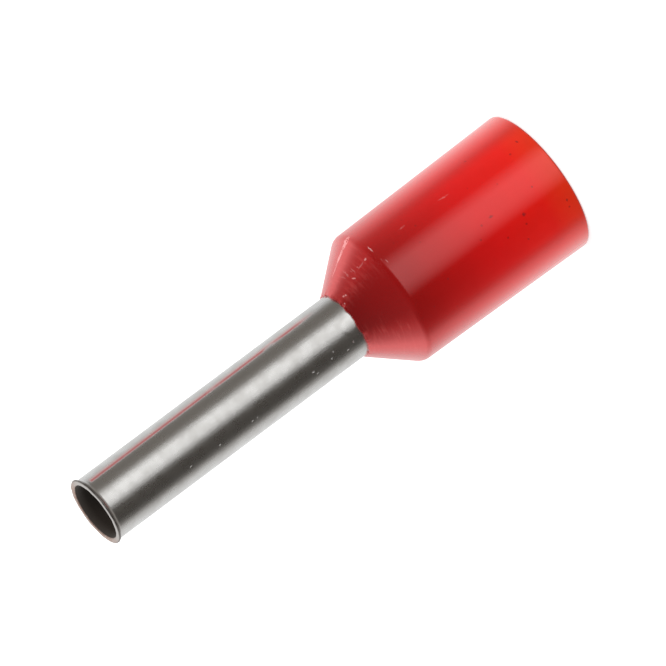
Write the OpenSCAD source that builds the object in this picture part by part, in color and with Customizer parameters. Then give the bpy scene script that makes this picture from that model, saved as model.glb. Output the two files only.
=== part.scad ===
// Insulated wire ferrule for a stranded conductor of 1 square millimetre.
// A thin tinned copper sleeve is held in the nose of a moulded plastic collar.
// The ferrule stands on the collar's open entry, with the sleeve's tip upwards.
// All sizes are in millimetres.

/* [Metal sleeve] */
// Length of bare sleeve that stands out of the collar's nose
bare_length = 7.85; // [5:0.05:12]
// Width of the sleeve's bore, which takes the strands
bore_width = 1.4; // [1:0.05:1.7]
// Thickness of the sleeve's wall
sleeve_wall = 0.17; // [0.12:0.01:0.22]
// How far the lip at the tip flares out from the barrel
lip_flare = 0.09; // [0.02:0.01:0.1]
// Length of that lip along the sleeve
lip_length = 0.16; // [0.14:0.02:0.4]
// Rounding of the lip's inner and outer edge
lip_round = 0.04; // [0.02:0.01:0.06]
// Length of sleeve that the collar's nose grips
grip_length = 1.1; // [0.6:0.1:1.5]
// How much that length widens in radius towards the funnel, which wedges it in
grip_taper = 0.02; // [0.01:0.01:0.05]
// Length of the funnel at the sleeve's inner end
funnel_length = 0.6; // [0.3:0.05:0.75]
// Half angle of the funnel and of the throat that it seats in
funnel_angle = 30; // [20:1:36]
// Bend radius where the sleeve opens into the funnel
funnel_bend = 0.15; // [0.05:0.05:0.3]

/* [Insulating collar] */
// Length of the collar from its open entry to its nose
collar_length = 6.15; // [5:0.05:9]
// Width of the collar's bore, which takes the wire's insulation
entry_width = 3; // [2.8:0.1:3.6]
// Thickness of the collar's wall at the shoulder
collar_wall = 0.34; // [0.2:0.02:0.5]
// How much the outside grows in radius from the shoulder to the entry
collar_draft = 0.08; // [0.02:0.01:0.15]
// Half angle of the cone between the shoulder and the nose
cone_angle = 39; // [28:0.5:45]
// Thickness of the collar's edge round the sleeve
nose_edge = 0.045; // [0.03:0.005:0.15]
// Rounding of the shoulder between the wall and the cone
shoulder_round = 0.25; // [0.05:0.05:0.5]
// How much the bore widens in radius at the entry
lead_in = 0.06; // [0.02:0.01:0.1]
// Depth of that widening
lead_depth = 0.4; // [0.2:0.1:1]
// Rounding of the entry rim's inner and outer edge
rim_round = 0.06; // [0.02:0.01:0.08]

/* [Hidden] */
$fn = 96;
ARC_STEPS = 5; // straight steps in each rounded corner

// Headings that the faces of a profile look in, in degrees from straight out
OUT = 0;
TIPWARD = 90;
INWARD = 180;
ENTRYWARD = 270;

bore_r = bore_width / 2;
sleeve_r = bore_r + sleeve_wall;
nose_z = collar_length;
tip_z = nose_z + bare_length;
lip_angle = atan(lip_flare / lip_length);

grip_r = sleeve_r + grip_taper;
grip_z = nose_z - grip_length;
grip_angle = atan(grip_taper / grip_length);
funnel_r = grip_r + funnel_length * tan(funnel_angle);
funnel_z = grip_z - funnel_length;

entry_r = entry_width / 2;
throat_z = grip_z - (entry_r - grip_r) / tan(funnel_angle);
shoulder_r = entry_r + collar_wall;
rim_r = shoulder_r + collar_draft;
nose_r = sleeve_r + nose_edge;
shoulder_z = nose_z - (shoulder_r - nose_r) / tan(cone_angle);
draft_angle = atan(collar_draft / shoulder_z);
lead_angle = atan(lead_in / lead_depth);

// Corners of the sleeve's outside: where it funnels, where it leaves the collar,
// where its lip starts, and its tip
bend = [grip_r, grip_z];
nose = [sleeve_r, nose_z];
lip = [sleeve_r, tip_z - lip_length];
tip = [sleeve_r + lip_flare, tip_z];

function heading(angle) = [cos(angle), sin(angle)];

// From a corner to the centre of an arc of radius 1 that rounds it off
function to_centre(from, to) = -heading((from + to) / 2) / cos((to - from) / 2);

// The points of a rounded corner, between a face that looks in one direction and
// a face that looks in the next. A negative radius rounds a hollow corner.
function rounded(corner, radius, from, to) =
    [for (i = [0:ARC_STEPS])
        corner + radius * (to_centre(from, to) + heading(from + (to - from) * i / ARC_STEPS))];

// The corner inside the sleeve's wall that answers to one on its outside
function through_wall(corner, from, to) = corner + sleeve_wall * to_centre(from, to);

// Drawn tube with a funnel at its inner end and a small flared lip at its tip
module metal_sleeve() {
    tail = [funnel_r, funnel_z];
    tip_inside = [tip.x - sleeve_wall / cos(lip_angle), tip.y];
    color("silver")
        rotate_extrude()
            polygon(concat(
                [tail - sleeve_wall * heading(funnel_angle), tail],
                rounded(bend, -funnel_bend, funnel_angle, grip_angle),
                [nose],
                rounded(lip, -lip_length, OUT, -lip_angle),
                rounded(tip, lip_round, -lip_angle, TIPWARD),
                rounded(tip_inside, lip_round, TIPWARD, INWARD - lip_angle),
                rounded(through_wall(lip, OUT, -lip_angle), lip_length + sleeve_wall,
                    INWARD - lip_angle, INWARD),
                [through_wall(nose, OUT, grip_angle)],
                rounded(through_wall(bend, grip_angle, funnel_angle), funnel_bend + sleeve_wall,
                    INWARD + grip_angle, INWARD + funnel_angle)
            ));
}

// Moulded plastic collar with a cone outside and a tapered throat inside
module insulating_collar() {
    color("red")
        rotate_extrude()
            polygon(concat(
                rounded([entry_r + lead_in, 0], rim_round, INWARD + lead_angle, ENTRYWARD),
                rounded([rim_r, 0], rim_round, ENTRYWARD - 360, draft_angle),
                rounded([shoulder_r, shoulder_z], shoulder_round, draft_angle, cone_angle),
                [[nose_r, nose_z], nose],
                rounded(bend, funnel_bend, INWARD + grip_angle, INWARD + funnel_angle),
                [[entry_r, throat_z], [entry_r, lead_depth]]
            ));
}

metal_sleeve();
insulating_collar();
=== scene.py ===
# Insulated wire ferrule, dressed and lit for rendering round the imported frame.
# It stands on the collar's open entry, with the sleeve's tip upwards.
# The side that faces the camera is -Y, and angles round the axis are measured from there towards +X.
import math

import bmesh
import bpy
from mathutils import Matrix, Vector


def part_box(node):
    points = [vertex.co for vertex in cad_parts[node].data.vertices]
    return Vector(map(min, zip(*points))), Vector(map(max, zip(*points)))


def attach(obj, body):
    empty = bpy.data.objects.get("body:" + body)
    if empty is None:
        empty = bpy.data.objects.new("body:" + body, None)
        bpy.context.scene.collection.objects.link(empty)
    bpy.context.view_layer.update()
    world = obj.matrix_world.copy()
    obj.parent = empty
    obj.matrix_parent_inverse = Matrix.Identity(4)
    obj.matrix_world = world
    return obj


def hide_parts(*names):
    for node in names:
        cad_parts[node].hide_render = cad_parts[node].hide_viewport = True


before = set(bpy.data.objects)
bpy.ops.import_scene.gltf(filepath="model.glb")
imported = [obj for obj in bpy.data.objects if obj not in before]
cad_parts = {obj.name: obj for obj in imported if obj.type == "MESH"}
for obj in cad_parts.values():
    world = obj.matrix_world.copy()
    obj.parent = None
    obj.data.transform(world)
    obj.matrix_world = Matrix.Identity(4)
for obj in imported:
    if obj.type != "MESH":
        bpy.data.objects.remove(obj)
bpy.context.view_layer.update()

# ---- Metal sleeve ----
# A thin drawn tube of tin-plated copper, cut to length. Its tip is flared into a small lip, where the
# cut shows bare copper, and its inner end opens into a funnel that seats in the collar's throat.

# Sizes are in millimetres: those ending in _r are radii, and those ending in _z are heights
MM = 0.001
ROUND_STEPS = 256
CORNER_STEPS = 6
SAME_POINT = 1e-4

sleeve_low, sleeve_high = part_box("metal_sleeve")
collar_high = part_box("insulating_collar")[1]
tip_z = sleeve_high.z / MM
nose_z = collar_high.z / MM

sleeve_r = 0.87
sleeve_wall = 0.17
bore_r = sleeve_r - sleeve_wall
grip_r = 0.89
funnel_length = 0.6
funnel_turn = math.radians(30)
funnel_bend = 0.15
funnel_z = sleeve_low.z / MM + sleeve_wall * math.sin(funnel_turn)
tail_r = grip_r + funnel_length * math.tan(funnel_turn)
grip_z = funnel_z + funnel_length
lip_flare = 0.09
lip_length = 0.1
lip_round = 0.035
lip_r = sleeve_r + lip_flare
lip_z = tip_z - lip_length
mouth_r = lip_r - sleeve_wall
mouth_depth = 0.13

# The section's corners, each with the radius that rounds it off
sleeve_section = [
    (tail_r, funnel_z, 0),
    (grip_r, grip_z, funnel_bend),
    (sleeve_r, nose_z, 0),
    (sleeve_r, lip_z, lip_length),
    (lip_r, tip_z, lip_round),
    (mouth_r, tip_z, lip_round),
    (bore_r, tip_z - mouth_depth, lip_length + sleeve_wall),
    (bore_r, nose_z, 0),
    (grip_r - sleeve_wall, grip_z + sleeve_wall * math.tan(funnel_turn / 2), funnel_bend + sleeve_wall),
    (tail_r - sleeve_wall * math.cos(funnel_turn), funnel_z - sleeve_wall * math.sin(funnel_turn), 0),
]


def rounding_reach(before, corner, after, radius):
    """How far from a corner its rounding starts."""
    into = math.atan2(corner[1] - before[1], corner[0] - before[0])
    out = math.atan2(after[1] - corner[1], after[0] - corner[0])
    turn = abs((out - into + math.pi) % (2 * math.pi) - math.pi)
    return radius * math.tan(turn / 2)


def select_points(piece, wanted):
    """In edit mode, selects the points whose radius and height answer to wanted."""
    bpy.ops.mesh.select_all(action="DESELECT")
    mesh = bmesh.from_edit_mesh(piece.data)
    for point in mesh.verts:
        point.select = wanted(math.hypot(point.co.x, point.co.y), point.co.z)
    mesh.select_flush(True)
    bmesh.update_edit_mesh(piece.data)


def spun(name, section):
    """A piece that is round about Z, in millimetres, spun from its section and left in edit mode."""
    first, last = section[0], section[-1]
    bpy.ops.object.select_all(action="DESELECT")
    bpy.ops.mesh.primitive_plane_add(size=0.1, location=(first[0], 0, first[1]))
    piece = bpy.context.active_object
    piece.name = name
    bpy.ops.object.transform_apply(location=True)
    bpy.ops.object.mode_set(mode="EDIT")
    bpy.ops.mesh.merge(type="CENTER")
    for here, there in zip(section, section[1:]):
        step = (there[0] - here[0], 0, there[1] - here[1])
        bpy.ops.mesh.extrude_vertices_move(TRANSFORM_OT_translate={"value": step})
    ends = (first[:2], last[:2])
    select_points(piece, lambda r, z: min(math.dist((r, z), end) for end in ends) < SAME_POINT)
    bpy.ops.mesh.edge_face_add()
    for before, corner, after in zip([last] + section[:-1], section, section[1:] + [first]):
        if corner[2]:
            select_points(piece, lambda r, z: math.dist((r, z), corner[:2]) < SAME_POINT)
            reach = rounding_reach(before, corner, after, corner[2])
            bpy.ops.mesh.bevel(offset=reach, segments=CORNER_STEPS, profile=0.5, affect="VERTICES")
    bpy.ops.mesh.select_all(action="SELECT")
    bpy.ops.mesh.spin(
        steps=ROUND_STEPS, angle=2 * math.pi, center=(0, 0, 0), axis=(0, 0, 1), use_auto_merge=True
    )
    bpy.ops.mesh.select_all(action="SELECT")
    bpy.ops.mesh.remove_doubles(threshold=SAME_POINT)
    bpy.ops.mesh.normals_make_consistent(inside=False)
    return piece


def roughen(piece, wanted, grain_size, height, direction):
    """Shifts the chosen points unevenly along a direction, by up to half of height each way."""
    bpy.ops.object.mode_set(mode="EDIT")
    select_points(piece, wanted)
    group = piece.vertex_groups.new(name="uneven")
    piece.vertex_groups.active_index = group.index
    bpy.ops.object.vertex_group_assign()
    bpy.ops.object.mode_set(mode="OBJECT")
    cloud = bpy.data.textures.new("uneven", "CLOUDS")
    cloud.noise_scale = grain_size
    cloud.noise_depth = 3
    shift = piece.modifiers.new("uneven", "DISPLACE")
    shift.texture = cloud
    shift.texture_coords = "LOCAL"
    shift.vertex_group = group.name
    shift.direction = direction
    shift.strength = height
    bpy.ops.object.modifier_apply(modifier=shift.name)
    piece.vertex_groups.clear()


def finish_piece(piece, sharp_angle, material):
    """Brings a piece from millimetres to metres, smooths its round faces and gives it its material."""
    bpy.ops.object.mode_set(mode="OBJECT")
    bpy.ops.transform.resize(value=(MM, MM, MM), center_override=(0, 0, 0))
    bpy.ops.object.transform_apply(scale=True)
    bpy.ops.object.shade_smooth_by_angle(angle=sharp_angle)
    piece.data.materials.append(material)


def add_node(tree, kind, *sources, **settings):
    """A shader node with its settings, its first inputs fed from sockets or set to values."""
    node = tree.nodes.new("ShaderNode" + kind)
    for setting, value in settings.items():
        setattr(node, setting, value)
    for socket, source in zip(node.inputs, sources):
        if isinstance(source, bpy.types.NodeSocket):
            tree.links.new(source, socket)
        elif source is not None:
            socket.default_value = source
    return node


def calculate(tree, operation, *values):
    """The result of one Math node."""
    return add_node(tree, "Math", *values, operation=operation).outputs[0]


def multiply(tree, first, *others):
    """All the values multiplied together."""
    for other in others:
        first = calculate(tree, "MULTIPLY", first, other)
    return first


def fade(tree, value, start, end):
    """A smooth step from 0 where value is start to 1 where it is end."""
    sources = (value, start, end, 0.0, 1.0)
    return add_node(tree, "MapRange", *sources, interpolation_type="SMOOTHSTEP").outputs[0]


def rescale(tree, value, start, end, low, high):
    """Goes straight from low where value is start to high where it is end."""
    return add_node(tree, "MapRange", value, start, end, low, high).outputs[0]


def blend_colours(tree, share, first, second):
    """Goes from the first colour to the second as share goes from 0 to 1."""
    node = tree.nodes.new("ShaderNodeMix")
    node.data_type = "RGBA"
    # Inputs 6 and 7 and output 2 are a Mix node's sockets for colours
    for socket, source in zip((node.inputs[0], node.inputs[6], node.inputs[7]), (share, first, second)):
        if isinstance(source, bpy.types.NodeSocket):
            tree.links.new(source, socket)
        else:
            socket.default_value = source
    return node.outputs[2]


def new_material(name):
    """An empty node material: its tree, its shader, and the surface point in millimetres."""
    material = bpy.data.materials.new(name)
    material.use_nodes = True
    tree = material.node_tree
    shader = tree.nodes["Principled BSDF"]
    place = add_node(tree, "TexCoord").outputs["Object"]
    in_mm = add_node(tree, "VectorMath", place, operation="SCALE")
    in_mm.inputs["Scale"].default_value = 1 / MM
    return material, tree, shader, in_mm.outputs[0]


def unroll(tree, place):
    """Where a point lies round the axis, in degrees from the camera's side, and its height."""
    x, y, height = add_node(tree, "SeparateXYZ", place).outputs
    front = multiply(tree, y, -1.0)
    return calculate(tree, "DEGREES", calculate(tree, "ARCTAN2", x, front)), height


def off_axis(tree, place):
    """How far a point lies from the axis."""
    level = add_node(tree, "VectorMath", place, (1, 1, 0), operation="MULTIPLY").outputs[0]
    return add_node(tree, "VectorMath", level, operation="LENGTH").outputs["Value"]


def lay_flat(tree, angle, height, radius):
    """The surface of a round piece laid out flat, in millimetres."""
    return add_node(tree, "CombineXYZ", multiply(tree, angle, math.radians(radius)), height, 0.0).outputs[0]


def marks(tree, angle, height, radius, places):
    """0 at the middle of the nearest of some small marks, and 1 at its edge.

    Each mark is an angle, a height, a length along the axis, a width round it and a tilt in degrees.
    """
    flat = lay_flat(tree, angle, height, radius)
    nearest = None
    for mark_angle, mark_height, length, width, tilt in places:
        centre = (math.radians(mark_angle) * radius, mark_height, 0)
        turn = (0, 0, math.radians(tilt))
        size = (width / 2, length / 2, 1)
        fitted = add_node(tree, "Mapping", flat, centre, turn, size, vector_type="TEXTURE").outputs[0]
        reach = add_node(tree, "VectorMath", fitted, operation="LENGTH").outputs["Value"]
        nearest = reach if nearest is None else calculate(tree, "MINIMUM", nearest, reach)
    return nearest


def speckle(tree, place, scale, detail, stretch=(1, 1, 1)):
    """Cloudy noise from 0 to 1, with scale clouds a millimetre."""
    squeezed = add_node(tree, "Mapping", place, None, None, stretch).outputs[0]
    noise = add_node(tree, "TexNoise", squeezed)
    noise.inputs["Scale"].default_value = scale
    noise.inputs["Detail"].default_value = detail
    return noise.outputs["Fac"]


RELIEF_HEIGHT = 0.003


def emboss(tree, shader, *layers):
    """Raises the surface by some patterns, each with its share of RELIEF_HEIGHT."""
    relief = None
    for pattern, share in layers:
        layer = multiply(tree, pattern, share)
        relief = layer if relief is None else calculate(tree, "ADD", relief, layer)
    bump = add_node(tree, "Bump")
    bump.inputs["Strength"].default_value = 1.0
    bump.inputs["Distance"].default_value = RELIEF_HEIGHT * MM
    tree.links.new(relief, bump.inputs["Height"])
    tree.links.new(bump.outputs[0], shader.inputs["Normal"])


TIN = (0.735, 0.735, 0.725, 1)
SPOT_HIGHLIGHT_TIN = (0.86, 0.86, 0.85, 1)
DULL_TIN = (0.68, 0.675, 0.66, 1)
CUT_TIN = (0.50, 0.48, 0.46, 1)
COPPER = (0.42, 0.29, 0.24, 1)
LIP_SHADE = (0.12, 0.10, 0.09, 1)
BORE_SHADE = (0.036, 0.027, 0.021, 1)
RED_TRACE = (0.36, 0.10, 0.10, 1)
PINK_TRACE = (0.86, 0.62, 0.60, 1)
LIP_SHADE_STRENGTH = 0.75
SPOT_HIGHLIGHT_STRENGTH = 0.4
BORE_DULLNESS = 0.4
CUT_DULLNESS = 0.15

# Small pits in the tin, most of them in a row along the tube on its -X side
SLEEVE_PITS = [
    (-36.2, 11.59, 0.10, 0.07, 0),
    (-36.1, 10.68, 0.09, 0.06, 0),
    (-36.8, 9.66, 0.10, 0.06, 0),
    (-36.4, 9.51, 0.06, 0.05, 0),
    (-38.5, 7.62, 0.09, 0.06, 0),
    (-37.5, 6.65, 0.10, 0.07, 0),
    (-22.3, 7.02, 0.06, 0.05, 0),
    (-30.0, 6.44, 0.06, 0.06, 0),
    (-31.2, 7.13, 0.08, 0.04, 0),
    (-30.6, 7.71, 0.12, 0.04, 0),
]
SMOOTH_SPOT = [(-4.0, 6.33, 0.48, 0.46, 0)]

# The tin is mottled, finely drawn along the tube and slightly grainy
tinned, tree, shader, place = new_material("tinned copper")
angle, height = unroll(tree, place)
across = off_axis(tree, place)
mottle = speckle(tree, place, scale=3.2, detail=4.0)
drawn_lines = speckle(tree, place, scale=16.0, detail=2.0, stretch=(1, 1, 0.06))
grain = speckle(tree, place, scale=14.0, detail=3.0)
colour = blend_colours(tree, fade(tree, mottle, 0.35, 0.7), TIN, DULL_TIN)

# A fine red line runs along the tube on its +X side, with a pink band beside it.
# It runs from just above the nose to the lip and drifts a little round the tube, by so many degrees a
# millimetre. Its widths are in degrees too.
TRACE_ANGLE = 59.6
TRACE_DRIFT = -0.75
TRACE_START = (6.6, 7.4)
TRACE_END = (13.84, 13.76)
TRACE_WIDTH = (5.8, 0.4)
SMEAR_OUTSIDE = (11.0, 3.0)
SMEAR_INSIDE = (0.5, 3.0)
SMEAR_STRENGTH = 0.8
trace_angle = calculate(tree, "MULTIPLY_ADD", height, TRACE_DRIFT, TRACE_ANGLE)
off_trace = calculate(tree, "SUBTRACT", angle, trace_angle)
along = multiply(tree, fade(tree, height, *TRACE_START), fade(tree, height, *TRACE_END))
patchy = fade(tree, speckle(tree, place, scale=5.0, detail=3.0, stretch=(1, 1, 0.35)), 0.1, 0.42)
on_line = fade(tree, calculate(tree, "ABSOLUTE", off_trace), *TRACE_WIDTH)
trace_share = multiply(tree, along, patchy, on_line)
beside_line = multiply(tree, fade(tree, off_trace, *SMEAR_OUTSIDE), fade(tree, off_trace, *SMEAR_INSIDE))
smear_share = multiply(tree, beside_line, SMEAR_STRENGTH, along)
colour = blend_colours(tree, smear_share, colour, PINK_TRACE)
colour = blend_colours(tree, trace_share, colour, RED_TRACE)

# The cut face at the tip, with bare copper in patches on its far side
cut_face = fade(tree, height, tip_z - 0.05, tip_z - 0.015)
far_side = fade(tree, calculate(tree, "ABSOLUTE", angle), 60.0, 125.0)
bare_share = multiply(tree, cut_face, far_side, fade(tree, grain, 0.25, 0.5))
colour = blend_colours(tree, cut_face, colour, CUT_TIN)
colour = blend_colours(tree, bare_share, colour, COPPER)

# Painted shade darkens the lip's outer edge and its underside, where the lip turns out from the tube
outer_edge = fade(tree, across, lip_r - 0.08, lip_r - 0.04)
clear_of_tube = fade(tree, across, sleeve_r + 0.005, sleeve_r + 0.04)
under_lip = multiply(tree, clear_of_tube, fade(tree, height, tip_z - 0.03, tip_z - 0.05))
painted_lip_shade = multiply(tree, calculate(tree, "MAXIMUM", outer_edge, under_lip), LIP_SHADE_STRENGTH)
colour = blend_colours(tree, painted_lip_shade, colour, LIP_SHADE)

# The bore is painted dark with the shade that falls inside it and made dull, and neither it nor the red
# line shines as metal does
inner_wall = fade(tree, across, mouth_r + 0.03, mouth_r + 0.02)
in_bore = multiply(tree, inner_wall, fade(tree, height, tip_z - 0.01, tip_z - 0.03))
colour = blend_colours(tree, in_bore, colour, BORE_SHADE)
bare_metal = calculate(tree, "SUBTRACT", 1.0, calculate(tree, "MAXIMUM", in_bore, trace_share))
tree.links.new(bare_metal, shader.inputs["Metallic"])
rough = rescale(tree, mottle, 0.3, 0.75, low=0.25, high=0.33)
rough = calculate(tree, "MULTIPLY_ADD", in_bore, BORE_DULLNESS, rough)
rough = calculate(tree, "MULTIPLY_ADD", cut_face, CUT_DULLNESS, rough)
tree.links.new(rough, shader.inputs["Roughness"])

# A smooth spot lies by the nose, slightly proud, with a painted highlight lightening its colour, and the
# pits are shallow dents
smooth_spot = fade(tree, marks(tree, angle, height, sleeve_r, SMOOTH_SPOT), 1.15, 0.6)
colour = blend_colours(tree, multiply(tree, smooth_spot, SPOT_HIGHLIGHT_STRENGTH), colour, SPOT_HIGHLIGHT_TIN)
tree.links.new(colour, shader.inputs["Base Color"])
pits = fade(tree, marks(tree, angle, height, sleeve_r, SLEEVE_PITS), 1.0, 0.2)
emboss(tree, shader, (mottle, 0.8), (drawn_lines, 0.35), (grain, 0.55), (pits, -2.5), (smooth_spot, 1.6))

sleeve = spun("drawn_sleeve", sleeve_section)
roughen(sleeve, lambda r, z: z > tip_z - 0.06, grain_size=0.25, height=0.02, direction="NORMAL")
finish_piece(sleeve, sharp_angle=math.radians(32), material=tinned)
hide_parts("metal_sleeve")
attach(sleeve, "root")

# ---- Insulating collar ----
# One moulding of glossy red polypropylene. The sleeve's funnel seats in its throat, and its thin nose
# grips the tube, so the two hold together. The light through the thin wall is painted into its colour,
# with painted shade deepening the red where metal backs it.

rim_r = collar_high.x / MM
rim_round = 0.06
entry_r = 1.5
lead_in = 0.06
lead_depth = 0.4
throat_z = grip_z - (entry_r - grip_r) / math.tan(funnel_turn)
collar_wall = 0.34
shoulder_r = entry_r + collar_wall
shoulder_round = 0.25
cone_turn = math.radians(39)
nose_edge = 0.045
nose_r = sleeve_r + nose_edge
shoulder_z = nose_z - (shoulder_r - nose_r) / math.tan(cone_turn)

# Two rings of points just below the nose keep its uneven edge from drawing streaks down the cone
NOSE_BAND = 0.06
nose_rings = [
    (nose_r + rings * NOSE_BAND * math.tan(cone_turn), nose_z - rings * NOSE_BAND, 0) for rings in (2, 1)
]
collar_section = [
    (rim_r, 0, rim_round),
    (shoulder_r, shoulder_z, shoulder_round),
    *nose_rings,
    (nose_r, nose_z, 0),
    (sleeve_r, nose_z, 0),
    (grip_r, grip_z, funnel_bend),
    (entry_r, throat_z, 0),
    (entry_r, lead_depth, 0),
    (entry_r + lead_in, 0, rim_round),
]


def graded(tree, share, stops):
    """A colour that goes through some stops, each a share from 0 to 1 and the colour there."""
    scale = add_node(tree, "ValToRGB", share)
    ready_stops = 2
    for spot, (at_share, tone) in enumerate(stops):
        if spot < ready_stops:
            stop = scale.color_ramp.elements[spot]
            stop.position = at_share
        else:
            stop = scale.color_ramp.elements.new(at_share)
        stop.color = tone
    return scale.outputs[0]


# The plastic's colour by height, with light through the wall painted in: orange red at the thin entry,
# and painted shade making it crimson at the cone over the metal
RED_AND_THROUGH_LIGHT_BY_HEIGHT = [
    (0.00, (0.88, 0.035, 0.004, 1)),
    (0.85, (0.85, 0.006, 0.001, 1)),
    (2.40, (0.70, 0.001, 0.001, 1)),
    (3.40, (0.52, 0.001, 0.001, 1)),
    (4.60, (0.33, 0.001, 0.001, 1)),
    (5.50, (0.24, 0.001, 0.001, 1)),
    (6.15, (0.17, 0.001, 0.001, 1)),
]
CLOUD_RED = (0.1, 0.0, 0.0, 1)
SCUFF_PINK = (0.96, 0.72, 0.70, 1)
RUBBED_RED = (0.85, 0.17, 0.15, 1)
SPECK_DARK = (0.16, 0.010, 0.014, 1)
FLECK_RED = (0.24, 0.004, 0.004, 1)
EDGE_ROSE = (1, 0.2, 0.2, 1)
EDGE_PALE = (1, 0.78, 0.78, 1)
GLOW_RED = (1.0, 0.06, 0.06, 1)
CLOUD_STRENGTH = 0.05
DIRT_STRENGTH = 0.75
FLECK_STRENGTH = 0.6
RUB_STRENGTH = 0.13
PLASTIC_IOR = 1.5

# Scuffs on the cone, the shoulder and the wall, on the +X side: a long bright one, small ones and
# faint ones
LONG_SCUFF = [
    (64.9, 5.10, 0.34, 0.20, -10),
    (66.6, 5.36, 0.50, 0.13, -13),
]
SMALL_SCUFFS = [
    (68.0, 5.66, 0.34, 0.09, -13),
    (35.2, 5.60, 0.04, 0.16, 20),
    (34.9, 5.16, 0.08, 0.06, 0),
    (37.0, 4.93, 0.04, 0.27, 0),
    (26.4, 6.09, 0.04, 0.09, 0),
    (34.3, 6.00, 0.05, 0.10, 0),
    (32.2, 5.95, 0.04, 0.10, 0),
]
FAINT_SCUFFS = [
    (35.6, 5.30, 0.24, 0.06, -7),
    (24.6, 4.94, 0.04, 0.20, 0),
    (20.0, 4.86, 0.04, 0.18, 0),
    (50.0, 5.72, 0.03, 0.45, 6),
    (46.9, 5.62, 0.04, 0.50, -4),
    (44.0, 5.53, 0.03, 0.25, 5),
    (40.3, 5.49, 0.03, 0.35, -8),
    (37.8, 5.38, 0.03, 0.20, 0),
    (35.2, 3.98, 0.24, 0.06, 0),
    (34.3, 2.69, 0.34, 0.06, -2),
]

# Dark specks in the plastic
DARK_SPECKS = [
    (-18.3, 3.90, 0.07, 0.08, 0),
    (-30.0, 4.54, 0.05, 0.06, 0),
    (0.0, 2.13, 0.14, 0.09, 0),
    (-0.7, 0.84, 0.06, 0.06, 0),
    (-13.3, 1.41, 0.12, 0.12, 0),
    (49.2, 1.60, 0.08, 0.08, 0),
    (34.0, 0.36, 0.06, 0.10, 0),
    (-24.0, 0.28, 0.08, 0.08, 0),
    (-30.9, 1.62, 0.05, 0.05, 0),
]

red, tree, shader, place = new_material("red plastic")
angle, height = unroll(tree, place)
height_share = rescale(tree, height, 0.0, nose_z, low=0.0, high=1.0)
colour = graded(tree, height_share, [(min(stop_z / nose_z, 1.0), tone) for stop_z, tone in RED_AND_THROUGH_LIGHT_BY_HEIGHT])
cloudy = fade(tree, speckle(tree, place, scale=1.6, detail=3.0), 0.35, 0.7)
colour = blend_colours(tree, multiply(tree, cloudy, CLOUD_STRENGTH), colour, CLOUD_RED)

# Marks have ragged edges, so they are read from a surface that is shaken a little, by so many degrees
# and millimetres. The long scuff and the faint ones are broken up as well.
SHAKE_ANGLE = 2.5
SHAKE_HEIGHT = 0.06
LONG_STRENGTH = 0.85
SMALL_STRENGTH = 0.38
FAINT_STRENGTH = 0.16
shake = add_node(tree, "TexNoise", place)
shake.inputs["Scale"].default_value = 12.0
shaken = calculate(tree, "SUBTRACT", shake.outputs["Fac"], 0.5)
shaken_angle = calculate(tree, "MULTIPLY_ADD", shaken, SHAKE_ANGLE, angle)
shaken_height = calculate(tree, "MULTIPLY_ADD", shaken, SHAKE_HEIGHT, height)
long_scuff = fade(tree, marks(tree, shaken_angle, shaken_height, shoulder_r, LONG_SCUFF), 1.15, 0.4)
small_scuffs = fade(tree, marks(tree, shaken_angle, shaken_height, shoulder_r, SMALL_SCUFFS), 1.15, 0.3)
faint_scuffs = fade(tree, marks(tree, shaken_angle, shaken_height, shoulder_r, FAINT_SCUFFS), 1.1, 0.3)
long_gaps = fade(tree, speckle(tree, place, scale=14.0, detail=2.0), 0.3, 0.55)
faint_gaps = fade(tree, speckle(tree, place, scale=9.0, detail=2.0), 0.35, 0.6)
long_scuff = multiply(tree, long_scuff, long_gaps, LONG_STRENGTH)
small_scuffs = multiply(tree, small_scuffs, SMALL_STRENGTH)
faint_scuffs = multiply(tree, faint_scuffs, faint_gaps, FAINT_STRENGTH)
scuffed = calculate(tree, "MAXIMUM", calculate(tree, "MAXIMUM", long_scuff, small_scuffs), faint_scuffs)

# Fine rub lines run round the cone, in patches on its sides
flat = lay_flat(tree, angle, height, shoulder_r)
rub_lines = fade(tree, speckle(tree, flat, scale=16.0, detail=2.0, stretch=(0.1, 1, 1)), 0.45, 0.75)
rub_patches = fade(tree, speckle(tree, place, scale=1.3, detail=2.0), 0.35, 0.6)
on_cone = fade(tree, height, shoulder_z, shoulder_z + 0.15)
off_front = fade(tree, calculate(tree, "ABSOLUTE", angle), 8.0, 34.0)
rubbed = multiply(tree, rub_lines, rub_patches, on_cone, off_front)

# The larger specks each have their own place, and fine dark flecks lie all over
dirt = fade(tree, marks(tree, shaken_angle, shaken_height, shoulder_r, DARK_SPECKS), 1.1, 0.2)
cells = add_node(tree, "TexVoronoi", place)
cells.inputs["Scale"].default_value = 3.2
chosen = add_node(tree, "SeparateXYZ", cells.outputs["Color"]).outputs[0]
flecks = multiply(tree, fade(tree, cells.outputs["Distance"], 0.13, 0.05), fade(tree, chosen, 0.45, 0.8))
colour = blend_colours(tree, multiply(tree, dirt, DIRT_STRENGTH), colour, SPECK_DARK)
colour = blend_colours(tree, multiply(tree, flecks, FLECK_STRENGTH), colour, FLECK_RED)
colour = blend_colours(tree, multiply(tree, rubbed, RUB_STRENGTH), colour, RUBBED_RED)
colour = blend_colours(tree, scuffed, colour, SCUFF_PINK)
tree.links.new(colour, shader.inputs["Base Color"])
tree.links.new(rescale(tree, scuffed, 0.0, 1.0, low=0.22, high=0.5), shader.inputs["Roughness"])
shader.inputs["IOR"].default_value = PLASTIC_IOR

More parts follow.
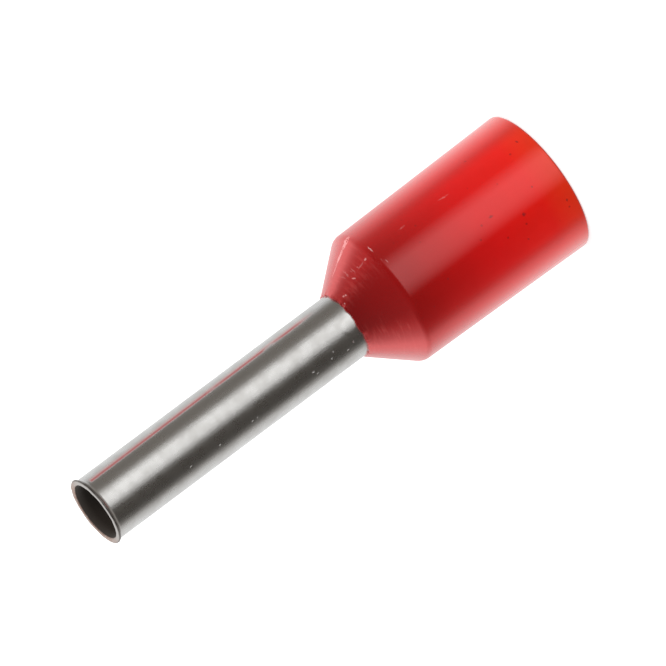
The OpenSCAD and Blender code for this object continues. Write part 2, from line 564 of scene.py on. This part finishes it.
# At a grazing angle the plastic mirrors the room in its skin and in the wall's inner face. So its
# gloss grows towards the sides, red first and paler at the very edge. It starts sooner on the cone,
# which leans away.
facing = add_node(tree, "LayerWeight")
facing.inputs["Blend"].default_value = 0.5
facing = facing.outputs["Facing"]
below, above = shoulder_z - 0.1, shoulder_z + 0.1
grazing = fade(tree, facing, rescale(tree, height, below, above, low=0.26, high=0.14), 0.42)
gloss = rescale(tree, grazing, 0.0, 1.0, low=1.2, high=6.0)
tree.links.new(gloss, shader.inputs["Specular IOR Level"])
edge_tint = blend_colours(tree, fade(tree, facing, 0.42, 0.85), EDGE_ROSE, EDGE_PALE)
tree.links.new(edge_tint, shader.inputs["Specular Tint"])

# Light that soaks into the wall comes out again as a deep red glow on the sides, less so at the entry
glow = fade(tree, facing, 0.09, rescale(tree, height, below, above, low=0.4, high=0.23))
glow = multiply(tree, glow, rescale(tree, height, 0.0, shoulder_z, low=0.3, high=0.38))
tree.links.new(glow, shader.inputs["Sheen Weight"])
shader.inputs["Sheen Roughness"].default_value = 1.0
shader.inputs["Sheen Tint"].default_value = GLOW_RED

# The moulded skin is smooth on the wall and duller on the cone
shader.inputs["Coat Weight"].default_value = 1.0
shader.inputs["Coat IOR"].default_value = PLASTIC_IOR
tree.links.new(rescale(tree, height, below, above, low=0.1, high=0.2), shader.inputs["Coat Roughness"])
waves = speckle(tree, place, scale=2.5, detail=3.0)
ripple = speckle(tree, place, scale=9.0, detail=2.0)
emboss(tree, shader, (waves, 1.0), (ripple, 0.15), (scuffed, 0.6), (rubbed, 0.5))

collar = spun("moulded_collar", collar_section)
roughen(collar, lambda r, z: z > nose_z - 0.01, grain_size=0.2, height=0.09, direction="Z")
finish_piece(collar, sharp_angle=math.radians(25), material=red)
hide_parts("insulating_collar")
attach(collar, "root")

# ---- Studio ----
# A pale floor under soft white light. The metal and the gloss see a broad lamp in front, and a room
# that is dim beside it and bright behind. The floor keeps the object's soft shadow.

# The floor, the key lamp and the camera are placed in metres. Reflections leave the floor out, and the
# camera sees it lightened by a glow of its own.
FLOOR_WIDTH = 6
FLOOR_GAP = 0.005 * MM
FLOOR_GREY = (0.72, 0.72, 0.72, 1)
FLOOR_ROUGHNESS = 0.9
FLOOR_GLOW = 0.5

bpy.ops.object.select_all(action="DESELECT")
bpy.ops.mesh.primitive_plane_add(size=FLOOR_WIDTH, location=(0, 0, -FLOOR_GAP))
floor = bpy.context.active_object
floor.name = "studio_floor"
floor.visible_glossy = False

pale = bpy.data.materials.new("pale floor")
pale.use_nodes = True
tree = pale.node_tree
shader = tree.nodes["Principled BSDF"]
shader.inputs["Base Color"].default_value = FLOOR_GREY
shader.inputs["Roughness"].default_value = FLOOR_ROUGHNESS
shader.inputs["Emission Color"].default_value = (1, 1, 1, 1)
ray = add_node(tree, "LightPath").outputs
tree.links.new(multiply(tree, ray["Is Camera Ray"], FLOOR_GLOW), shader.inputs["Emission Strength"])
floor.data.materials.append(pale)

# What a reflection sees, by its angle round the object from the camera's side towards +X: the light's
# level, and its share of blue, which is 1 for white and less for a warmer light. The room is dim out to
# about 90 degrees on both sides and bright behind, low down as well as high up.
BROAD_LAMP = [
    (-25, 0.0, 1.0),
    (-12, 0.6, 1.0),
    (-3, 0.88, 1.0),
    (12, 1.0, 1.0),
    (26, 1.0, 1.0),
    (48, 0.0, 1.0),
]
LOW_ROOM = [
    (-180, 1.0, 1.0),
    (-148, 0.9, 1.0),
    (-118, 0.76, 0.98),
    (-107, 0.62, 0.96),
    (-98, 0.42, 0.92),
    (-88, 0.16, 0.85),
    (-76, 0.06, 0.8),
    (-24, 0.06, 0.71),
    (44, 0.185, 0.8),
    (88, 0.175, 0.8),
    (97, 0.26, 0.9),
    (107, 0.52, 0.97),
    (120, 0.74, 1.0),
    (150, 0.88, 1.0),
    (180, 1.0, 1.0),
]
HIGH_ROOM = [
    (-180, 1.1, 1.0),
    (-122, 1.05, 1.0),
    (-105, 0.72, 1.0),
    (-91, 0.38, 1.0),
    (-73, 0.1, 1.0),
    (0, 0.06, 1.0),
    (75, 0.05, 1.0),
    (100, 0.16, 1.0),
    (109, 0.45, 1.0),
    (120, 1.0, 1.0),
    (180, 1.1, 1.0),
]
DIM_FLOOR = (0.30, 0.28, 0.26, 1)
WHITE = (1.0, 1.0, 1.0, 1)
LAMP_GLOW = 1.05
SOFT_FILL = 1.15
FILL_FROM_BEHIND = 0.6

studio = bpy.data.worlds.new("studio")
bpy.context.scene.world = studio
studio.use_nodes = True
tree = studio.node_tree
direction = add_node(tree, "TexCoord").outputs["Generated"]
angle, upward = unroll(tree, direction)
whole_turn = rescale(tree, angle, -180.0, 180.0, low=0.0, high=1.0)


def light_round(stops):
    """Light that follows the angle round the object through some stops."""
    tones = [
        ((stop_angle + 180) / 360, (level, level * (1 + blue) / 2, level * blue, 1))
        for stop_angle, level, blue in stops
    ]
    return graded(tree, whole_turn, tones)


lamp_level = multiply(tree, fade(tree, upward, 0.1, -0.15), fade(tree, upward, -0.72, -0.55), LAMP_GLOW)
lamp = add_node(tree, "VectorMath", light_round(BROAD_LAMP), operation="SCALE")
tree.links.new(lamp_level, lamp.inputs["Scale"])
room = blend_colours(tree, fade(tree, upward, 0.05, 0.45), light_round(LOW_ROOM), light_round(HIGH_ROOM))
room = blend_colours(tree, fade(tree, upward, -0.5, -0.75), room, DIM_FLOOR)
reflected = add_node(tree, "VectorMath", lamp.outputs[0], room, operation="ADD").outputs[0]

# Dull surfaces see a soft fill, stronger from behind, and the camera sees plain white
backward = add_node(tree, "SeparateXYZ", direction).outputs["Y"]
fill_level = calculate(tree, "MULTIPLY_ADD", backward, FILL_FROM_BEHIND, SOFT_FILL)
fill = add_node(tree, "CombineXYZ", fill_level, fill_level, fill_level).outputs[0]
ray = add_node(tree, "LightPath").outputs
light = blend_colours(tree, ray["Is Glossy Ray"], fill, reflected)
backdrop = calculate(tree, "MAXIMUM", ray["Is Camera Ray"], ray["Is Transmission Ray"])
tree.links.new(blend_colours(tree, backdrop, light, WHITE), tree.nodes["Background"].inputs["Color"])

# The key lamp stands in front on the +X side and casts the shadow, and reflections leave it out
KEY_PLACE = (0.34, -0.24, 0.30)
KEY_WIDTH = 0.3
KEY_POWER = 0.95
bpy.ops.object.light_add(type="AREA", location=KEY_PLACE)
key = bpy.context.active_object
key.name = "key_lamp"
key.data.shape = "SQUARE"
key.data.size = KEY_WIDTH
key.data.energy = KEY_POWER
key.visible_glossy = False
key.rotation_mode = "QUATERNION"
key.rotation_quaternion = key.location.to_track_quat("Z", "Y")

# The camera looks down on the ferrule, rolled so that the tip points down to the left
CAMERA_HEIGHT_ANGLE = 17.5
CAMERA_ROLL = -126.76
CAMERA_DISTANCE = 0.5
CAMERA_LENS = 1119.5
CAMERA_SENSOR = 36
LOOK_AT_SHARE = 0.4636
ASIDE = 0.028 * MM
look_at_height = sleeve_high.z * LOOK_AT_SHARE
rise = math.radians(CAMERA_HEIGHT_ANGLE)
bpy.ops.object.camera_add(
    location=(ASIDE, -CAMERA_DISTANCE * math.cos(rise), look_at_height + CAMERA_DISTANCE * math.sin(rise))
)
camera = bpy.context.active_object
camera.rotation_mode = "ZYX"
camera.rotation_euler = (math.pi / 2 - rise, 0, math.radians(CAMERA_ROLL))
camera.data.sensor_width = CAMERA_SENSOR
camera.data.lens = CAMERA_LENS
camera.data.clip_start = 0.01
bpy.context.scene.camera = camera
bpy.context.scene.view_settings.view_transform = "Standard"
